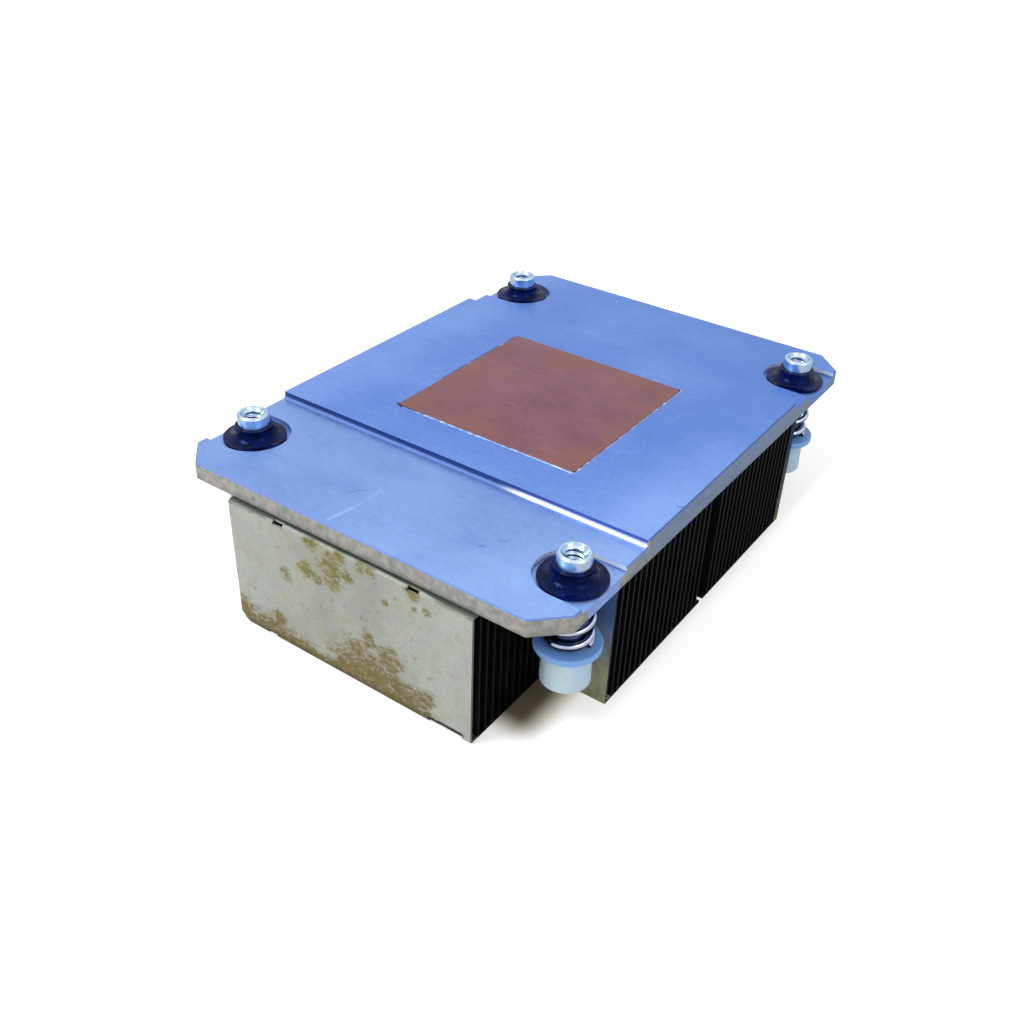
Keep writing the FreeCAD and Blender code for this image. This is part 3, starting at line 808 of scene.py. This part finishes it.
def black_nylon_finish():
    f = Finish("black_nylon", Specular_IOR_Level=0.16, Specular_Tint=(0.25, 0.5, 1.0, 1.0))
    mould = f.noise(0.7, 3.0, shift=15.0)
    f.feed("Base Color", f.mix(f.rise(mould, 0.3, 0.75), (1, 3, 34), (5, 18, 92)))
    f.feed("Roughness", 0.12 + mould * 0.1)
    f.relief(mould, 0.1)
    return f


def white_nylon_finish():
    f = Finish(
        "white_nylon", Subsurface_Weight=0.25, Subsurface_Radius=(0.6, 0.7, 0.8),
        Subsurface_Scale=1.0 * MM,
    )
    cloud = f.noise(0.6, 3.0, shift=27.0)
    _, seat_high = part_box("spring_seat_front_right")
    # Painted light: the white nylon is painted light blue on the flange and bluish on the skirt's
    # right side, for the blue light they catch.
    flange = f.rise(f.z, seat_high.z / MM - 1.7, seat_high.z / MM - 1.0)
    skirt = f.mix(cloud, (196, 226, 238), (220, 240, 246))
    skirt = f.mix(f.rise(f.x * 0.83 + f.y * 0.55, 4.2, 7.2) * 0.5, skirt, (176, 206, 242))
    f.feed("Base Color", f.mix(flange * 0.9, skirt, (124, 180, 255)))
    f.feed("Roughness", 0.34 + cloud * 0.12)
    f.relief(cloud, 0.015)
    return f


barrel_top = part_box("captive_nut_front_left")[1].z
zinc, wire = zinc_finish(), wire_finish()
black_nylon, white_nylon = black_nylon_finish(), white_nylon_finish()
print("fastener finishes: zinc, wire, black nylon, white nylon")

# %% [markdown]
# ## A lathe
#
# Nuts, washers and bushes are turned or moulded round an axis, so one lathe makes them all. The
# outline is drawn with sharp corners, and `soften` rounds each of them, as a tool or a mould
# leaves it. Without that no edge would catch the light.

# %% The lathe
RINGS = 96
ON_AXIS = 1e-9  # a smaller radius counts as a point on the axis
MOST_ROUNDED = 0.45  # share of an edge that one rounded corner may take


def soften(outline, radius, steps=4):
    """Rounds the corners of a closed (radius, height) outline. Points on the axis stay."""
    rounded = []
    for index, corner in enumerate(outline):
        here = Vector(corner)
        if here.x < ON_AXIS:
            rounded.append(here)
            continue
        before = Vector(outline[index - 1]) - here
        after = Vector(outline[(index + 1) % len(outline)]) - here
        start = here + before.normalized() * min(radius, before.length * MOST_ROUNDED)
        end = here + after.normalized() * min(radius, after.length * MOST_ROUNDED)
        for step in range(steps + 1):
            t = step / steps
            rounded.append(start.lerp(here, t).lerp(here.lerp(end, t), t))
    return rounded


def as_mesh(name, shape):
    """A plain mesh out of a BMesh, which is freed."""
    mesh = bpy.data.meshes.new(name)
    shape.to_mesh(mesh)
    shape.free()
    return mesh


def smooth(mesh, sharp_from):
    """Smooth shading, with the edges that turn by more degrees than this left sharp."""
    mesh.shade_smooth()
    mesh.set_sharp_from_angle(angle=math.radians(sharp_from))


def lathe(name, outline, rings=RINGS):
    """A closed mesh, turned round the Z axis at the origin. The outline is in metres."""
    shell = bmesh.new()
    loops = []
    for radius, height in outline:
        if radius < ON_AXIS:
            loops.append([shell.verts.new((0, 0, height))] * rings)
        else:
            turns = (2 * math.pi * ring / rings for ring in range(rings))
            places = ((radius * math.cos(a), radius * math.sin(a), height) for a in turns)
            loops.append([shell.verts.new(place) for place in places])
    for first, second in zip(loops, loops[1:] + loops[:1]):
        for ring in range(rings):
            after = (ring + 1) % rings
            face = list(dict.fromkeys((first[ring], first[after], second[after], second[ring])))
            if len(face) > 2:
                shell.faces.new(face)
    bmesh.ops.recalc_face_normals(shell, faces=shell.faces)
    mesh = as_mesh(name, shell)
    smooth(mesh, 50)
    return mesh


def set_in_corner(mesh, kind, corner, body, finish):
    """A copy of a mesh on a corner's axis, riding on its body in place of the plain node."""
    node = f"{kind}_{corner}"
    place = mesh.copy()
    place.transform(Matrix.Translation(axes[corner]))
    piece = in_scene(f"{node}_piece", place)
    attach(piece, body)
    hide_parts(node)
    wear(piece, finish)
    return piece


print(f"lathe ready, {RINGS} steps round")

# %% [markdown]
# ## Retaining washers
#
# A black push-on washer lies in the recess of each corner. It has a flat rim and a hub that
# grips the nut's barrel. The flare between them is a quarter of an ellipse, steep at the hub.

# %% Make the retaining washers
washer_low, washer_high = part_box("retaining_washer_front_left")
RIM_HEIGHT, RIM_WIDTH, COLLAR = 0.55 * MM, 0.35 * MM, 0.45 * MM
LIP_HEIGHT = 0.6 * MM  # the lip that snaps into the nut's groove, which lies as far below the top
FLARE_STEPS = 12
barrel_radius = 2.5 * MM
groove_radius = barrel_radius - 0.2 * MM
washer_radius = (washer_high.x - washer_low.x) / 2
hub_radius = 3.0 * MM
rim_top = washer_low.z + RIM_HEIGHT
flare_foot = washer_radius - RIM_WIDTH
flare_top = washer_high.z - COLLAR
lip_top = washer_high.z - LIP_HEIGHT
lip_bottom = lip_top - LIP_HEIGHT

flare = []
for step in range(FLARE_STEPS + 1):
    turn = math.pi / 2 * step / FLARE_STEPS
    flare.append((
        hub_radius + (flare_foot - hub_radius) * (1 - math.sin(turn)),
        rim_top + (flare_top - rim_top) * (1 - math.cos(turn)),
    ))
washer_outline = soften([
    (barrel_radius, washer_low.z), (washer_radius, washer_low.z), (washer_radius, rim_top),
], 0.12 * MM)
washer_outline += [Vector(point) for point in flare]
washer_outline += soften([
    (hub_radius, washer_high.z), (barrel_radius, washer_high.z), (barrel_radius, lip_top),
    (groove_radius, lip_top), (groove_radius, lip_bottom), (barrel_radius, lip_bottom),
], 0.06 * MM)
washer_mesh = lathe("retaining_washer", washer_outline)
for corner in CORNERS:
    body = f"nut_{corner}"
    set_in_corner(washer_mesh, "retaining_washer", corner, body, black_nylon)
print(f"washers: {len(CORNERS)}, {2 * washer_radius / MM:.1f} mm across")

# %% [markdown]
# ## Spring seats
#
# Each spring pushes on a moulded bush: a flange for the spring and a slightly tapered skirt that
# hides the nut's head. Moulded edges are rounder than turned ones.

# %% Make the spring seats
seat_low, seat_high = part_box("spring_seat_front_left")
SEAT_FLANGE, SEAT_SHOULDER = 1.1 * MM, 1.5 * MM
SKIRT_FOOT_RADIUS, SKIRT_TOP_RADIUS = 3.75 * MM, 3.55 * MM
RUNNING_CLEARANCE = 0.08 * MM
head_radius = 2.9 * MM
seat_radius = (seat_high.x - seat_low.x) / 2
flange_foot, head_top = seat_high.z - SEAT_FLANGE, seat_high.z - SEAT_SHOULDER
round_head, round_barrel = head_radius + RUNNING_CLEARANCE, barrel_radius + RUNNING_CLEARANCE
seat_mesh = lathe("spring_seat", soften([
    (round_head, seat_low.z), (SKIRT_FOOT_RADIUS, seat_low.z), (SKIRT_TOP_RADIUS, flange_foot),
    (seat_radius, flange_foot), (seat_radius, seat_high.z), (round_barrel, seat_high.z),
    (round_barrel, head_top), (round_head, head_top),
], 0.22 * MM))
for corner in CORNERS:
    set_in_corner(seat_mesh, "spring_seat", corner, f"seat_{corner}", white_nylon)
print(f"seats: {len(CORNERS)}, {2 * seat_radius / MM:.1f} mm across")

# %% [markdown]
# ## Captive nuts with a real thread
#
# The nut is a long barrel with a threaded bore that is open at the top, and a head with a cross
# recess at the foot. The depth of a thread depends only on the height and the turn. So the
# lathe makes a plain bore with many close rings, and Geometry Nodes move each point of the wall
# outwards by a V-shaped wave that climbs one pitch a turn.

# %% Turn the nut, plain, with close rings in its bore
nut_low, nut_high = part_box("captive_nut_front_left")
RINGS_PER_PITCH, RINGS_OF_NUT = 10, 72
BORE_DEPTH, DRILL_POINT = 14.0 * MM, 0.8 * MM
EDGE_BREAK = 0.3 * MM
bore_radius, mouth_radius = 1.32 * MM, 1.9 * MM
thread_pitch, thread_depth = 0.79 * MM, 0.33 * MM
bore_top = nut_high.z - (mouth_radius - bore_radius)
bore_foot = nut_high.z - BORE_DEPTH

bore_rings = math.ceil((bore_top - bore_foot) / thread_pitch * RINGS_PER_PITCH)
bore = [
    Vector((bore_radius, bore_top + (bore_foot - bore_top) * ring / bore_rings))
    for ring in range(bore_rings + 1)
]
nut_outline = soften([
    (0, nut_low.z), (head_radius - EDGE_BREAK, nut_low.z), (head_radius, nut_low.z + EDGE_BREAK),
    (head_radius, head_top), (barrel_radius, head_top),
    (barrel_radius, lip_bottom), (groove_radius, lip_bottom), (groove_radius, lip_top),
    (barrel_radius, lip_top), (barrel_radius, nut_high.z - EDGE_BREAK),
    (barrel_radius - EDGE_BREAK, nut_high.z), (mouth_radius, nut_high.z),
], 0.08 * MM, 3)
nut_outline += bore + [Vector((0, bore_foot - DRILL_POINT))]
nut_mesh = lathe("captive_nut", nut_outline, RINGS_OF_NUT)
print(f"nut: {len(nut_mesh.vertices)} points, bore of {bore_rings} rings")


# %% Cut the thread with Geometry Nodes
THREAD_SIZES = {
    "Pitch": thread_pitch, "Depth": thread_depth, "Bore Radius": bore_radius,
    "Top": bore_top, "Foot": bore_foot, "Material": zinc.material,
}


def thread_tree():
    tree, size = geometry_tree("cut_thread", THREAD_SIZES)
    x, y, z = tree.parts(tree.node("GeometryNodeInputPosition"))
    radius = (x * x + y * y).root()
    turn = y.turn_from(x) / (2 * math.pi)
    wave = abs((z / size["Pitch"] - turn).fraction() * 2 - 1)
    groove = tree.rise(wave, 0.12, 0.88)
    runout = tree.rise(z, size["Foot"], size["Foot"] + size["Pitch"])
    runout = runout * tree.rise(z, size["Top"], size["Top"] - size["Pitch"] * 0.35)
    deeper = 1 + groove * runout * size["Depth"] / radius
    in_bore = abs(radius - size["Bore Radius"]).below(0.02 * MM)
    in_bore = in_bore * z.above(size["Foot"] - 0.01 * MM)
    moved = tree.node("GeometryNodeSetPosition", {
        "Geometry": size["Geometry"], "Selection": in_bore,
        "Position": tree.vector(x * deeper, y * deeper, z),
    })
    finish_tree(tree, moved, size["Material"])
    return tree


nut_mesh = grown("captive_nut", nut_mesh, thread_tree(), THREAD_SIZES)
print(f"thread: {(bore_top - bore_foot) / thread_pitch:.0f} turns of {thread_pitch / MM:.2f} mm")

# %% [markdown]
# A cross recess is two crossed slots, and a Boolean says just that. It is in the head, on the
# side of the fins.

# %% Cut the drive recess and set the nuts
DRIVE_SPAN, DRIVE_SLOT, DRIVE_DEPTH = 4.4 * MM, 1.1 * MM, 2.2 * MM


def slot_block(span_x, span_y, low, high):
    """A block on the Z axis, between two heights."""
    block = bmesh.new()
    bmesh.ops.create_cube(block, size=1.0)
    bmesh.ops.scale(block, vec=(span_x, span_y, high - low), verts=block.verts)
    bmesh.ops.translate(block, vec=(0, 0, (low + high) / 2), verts=block.verts)
    return as_mesh("drive_slot", block)


def cut(mesh, cutters):
    """The mesh without what the cutters take out of it."""
    whole = in_scene("whole", mesh)
    tools = [in_scene("cutter", cutter) for cutter in cutters]
    for tool in tools:
        boolean = whole.modifiers.new("slot", "BOOLEAN")
        boolean.operation, boolean.object, boolean.solver = "DIFFERENCE", tool, "EXACT"
    made = evaluated(whole)
    for each in [whole] + tools:
        bpy.data.objects.remove(each)
    return made


below_nut, drive_top = nut_low.z - 1 * MM, nut_low.z + DRIVE_DEPTH
nut_mesh = cut(nut_mesh, [
    slot_block(DRIVE_SPAN, DRIVE_SLOT, below_nut, drive_top),
    slot_block(DRIVE_SLOT, DRIVE_SPAN, below_nut, drive_top),
])
smooth(nut_mesh, 42)
for corner in CORNERS:
    set_in_corner(nut_mesh, "captive_nut", corner, f"nut_{corner}", zinc)
print(f"nuts: {len(CORNERS)}, {len(nut_mesh.polygons)} faces each")

# %% [markdown]
# ## Springs
#
# A compression spring is a round wire on a helix whose turns close at both ends, which are
# ground flat. A straight line of points is wound round the axis, a circle is swept along it,
# and every point is held between two heights.

# %% Wind the springs
spring_low, spring_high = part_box("spring_front_left")
WIRE = 1.0 * MM
SPRING_SIZES = {
    "Coil Radius": (spring_high.x - spring_low.x) / 2 - WIRE / 2,
    "Wire Radius": WIRE / 2, "Turns": 4.1, "Closed Turns": 0.75, "Closed Pitch": WIRE,
    "Foot": spring_low.z, "Top": spring_high.z, "Material": wire.material,
}
POINTS_ALONG_WIRE = 260
SIDES_OF_WIRE = 20


def spring_tree():
    tree, size = geometry_tree("coil_spring", SPRING_SIZES)
    line = tree.node("GeometryNodeCurvePrimitiveLine", {"End": (0, 0, 1)})
    points = tree.node("GeometryNodeResampleCurve", {"Curve": line, "Count": POINTS_ALONG_WIRE})
    along = tree.node("GeometryNodeSplineParameter") * size["Turns"]
    angle = along * (2 * math.pi)
    start = size["Foot"] + size["Wire Radius"] * 0.5
    length = size["Top"] - size["Foot"] - size["Wire Radius"]
    open_rise = length - size["Turns"] * size["Closed Pitch"]
    opened = tree.rise(along, size["Closed Turns"], size["Turns"] - size["Closed Turns"])
    height = start + along * size["Closed Pitch"] + opened * open_rise
    wound = tree.node("GeometryNodeSetPosition", {
        "Geometry": points,
        "Position": tree.vector(
            size["Coil Radius"] * angle.cosine(), size["Coil Radius"] * angle.sine(), height
        ),
    })
    circle = tree.node("GeometryNodeCurvePrimitiveCircle", {
        "Resolution": SIDES_OF_WIRE, "Radius": size["Wire Radius"],
    })
    swept = tree.node("GeometryNodeCurveToMesh", {
        "Curve": wound, "Profile Curve": circle, "Fill Caps": True,
    })
    x, y, z = tree.parts(tree.node("GeometryNodeInputPosition"))
    ground = tree.node("GeometryNodeSetPosition", {
        "Geometry": swept,
        "Position": tree.vector(x, y, z.most(size["Foot"]).least(size["Top"])),
    })
    finish_tree(tree, ground, size["Material"])
    return tree


spring_mesh = grown("coil_spring", bpy.data.meshes.new("seed"), spring_tree(), SPRING_SIZES)
smooth(spring_mesh, 40)
for corner in CORNERS:
    piece = set_in_corner(spring_mesh, "spring", corner, "heatsink", wire)
    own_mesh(piece)

# %% [markdown]
# ## Floor and light
#
# The floor is white. Camera rays see it brighter than it is, so that only the shadow round the
# part shows. How much brighter follows the place: a little more on the right, painted light that
# narrows the shadow there, and nearly nothing in the nook under the front right fastener, where
# the floor is painted dark brown as a painted shadow.
#
# The world lights softly from all sides, and what metal mirrors of it fades towards the horizon.
# A lamp to the front left picks out the milled step and the front fin, and a weaker one to the
# right keeps the round pieces round.

# %% Lay the floor
FLOOR_RADIUS, FLOOR_GAP = 3.0, 0.02 * MM
# These are light values, not levels.
FLOOR_WHITE, NOOK_SHADOW_BROWN = (0.86, 0.86, 0.84, 1.0), (0.17, 0.13, 0.07, 1.0)
NOOK_SHADOW_GLOW = (1.0, 0.93, 0.76, 1.0)
stack_low, stack_high = (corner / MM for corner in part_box(wide_fins[0]))


def floor_finish():
    f = Finish("white_floor", Roughness=0.9)
    rays = f.node("ShaderNodeLightPath", output="Is Camera Ray")
    from_middle = (f.x * f.x + f.y * f.y).root()
    beside, before = f.x - fin_high.x / MM, stack_low.y - f.y
    # Painted shadow: in the nook beside the narrow fins the floor is painted dark brown and hardly
    # glows. Painted light: to the right of the stack it glows more, which narrows the shadow.
    nook = f.rise(beside, 8.0, 2.5) * f.rise(beside, -0.8, 0.0)
    nook = nook * f.rise(before, 15.5, 9.5) * f.rise(before, -1.0, 0.0)
    shadow_lift = f.rise(beside, 6.0, 10.0) * f.rise(before, 3.0, 7.0)
    shadow_lift = shadow_lift.most(f.rise(f.x, stack_high.x, stack_high.x + 2.5))
    shadow_lift = shadow_lift * f.rise(abs(f.y), 75.0, 60.0)
    strength = 0.5 + f.rise(from_middle, 60.0, 190.0) * 0.12 + shadow_lift * 0.14 - nook * 0.49
    f.feed("Base Color", f.mix(nook, FLOOR_WHITE, NOOK_SHADOW_BROWN))
    warm = f.mix(f.rise(nook, 0.0, 0.6), (1.0, 1.0, 1.0, 1.0), NOOK_SHADOW_GLOW)
    glow = f.node("ShaderNodeEmission", {"Color": warm, "Strength": rays * strength})
    both = f.node("ShaderNodeAddShader", {0: Value(f, f.shader.outputs[0]), 1: glow})
    f.nodes.links.new(both.socket, f.nodes.nodes["Material Output"].inputs["Surface"])
    return f


def floor():
    sheet = bmesh.new()
    bmesh.ops.create_circle(sheet, cap_ends=True, radius=FLOOR_RADIUS, segments=64)
    mesh = as_mesh("floor", sheet)
    mesh.materials.append(floor_finish().material)
    made = in_scene("floor", mesh)
    made.location.z = cad_low.z - FLOOR_GAP


floor()
print("floor laid")


# %% Light the room
def lamp(name, azimuth, elevation, distance, size, watts):
    """A square soft white lamp that looks at the middle of the part."""
    centre = (cad_low + cad_high) / 2
    a, e = math.radians(azimuth), math.radians(elevation)
    away = Vector((math.sin(a) * math.cos(e), -math.cos(a) * math.cos(e), math.sin(e)))
    light = bpy.data.lights.new(name, "AREA")
    light.shape, light.size, light.energy = "SQUARE", size, watts
    made = in_scene(name, light)
    made.location = centre + away * distance
    made.rotation_euler = away.to_track_quat("Z", "Y").to_euler()


def room():
    world = bpy.data.worlds.new("room")
    world.use_nodes = True
    tree = Tree(world.node_tree)
    direction = tree.node("ShaderNodeTexCoord", output="Generated")
    height = tree.parts(direction)[2]
    camera_ray = tree.node("ShaderNodeLightPath", output="Is Camera Ray")
    glossy_ray = tree.node("ShaderNodeLightPath", output="Is Glossy Ray")
    mirrored = 0.72 + tree.rise(height, 0.2, 0.75) * 0.42
    light = 0.52 + (mirrored - 0.52) * glossy_ray
    strength = light + (1 - light) * camera_ray
    background = world.node_tree.nodes["Background"]
    background.inputs["Color"].default_value = (1, 1, 1, 1)
    world.node_tree.links.new(strength.socket, background.inputs["Strength"])
    bpy.context.scene.world = world


room()
lamp("key", azimuth=-32.0, elevation=46.0, distance=0.45, size=0.16, watts=0.95)
lamp("fill", azimuth=75.0, elevation=40.0, distance=0.6, size=0.3, watts=0.5)
print("lit by the room, a key and a fill")
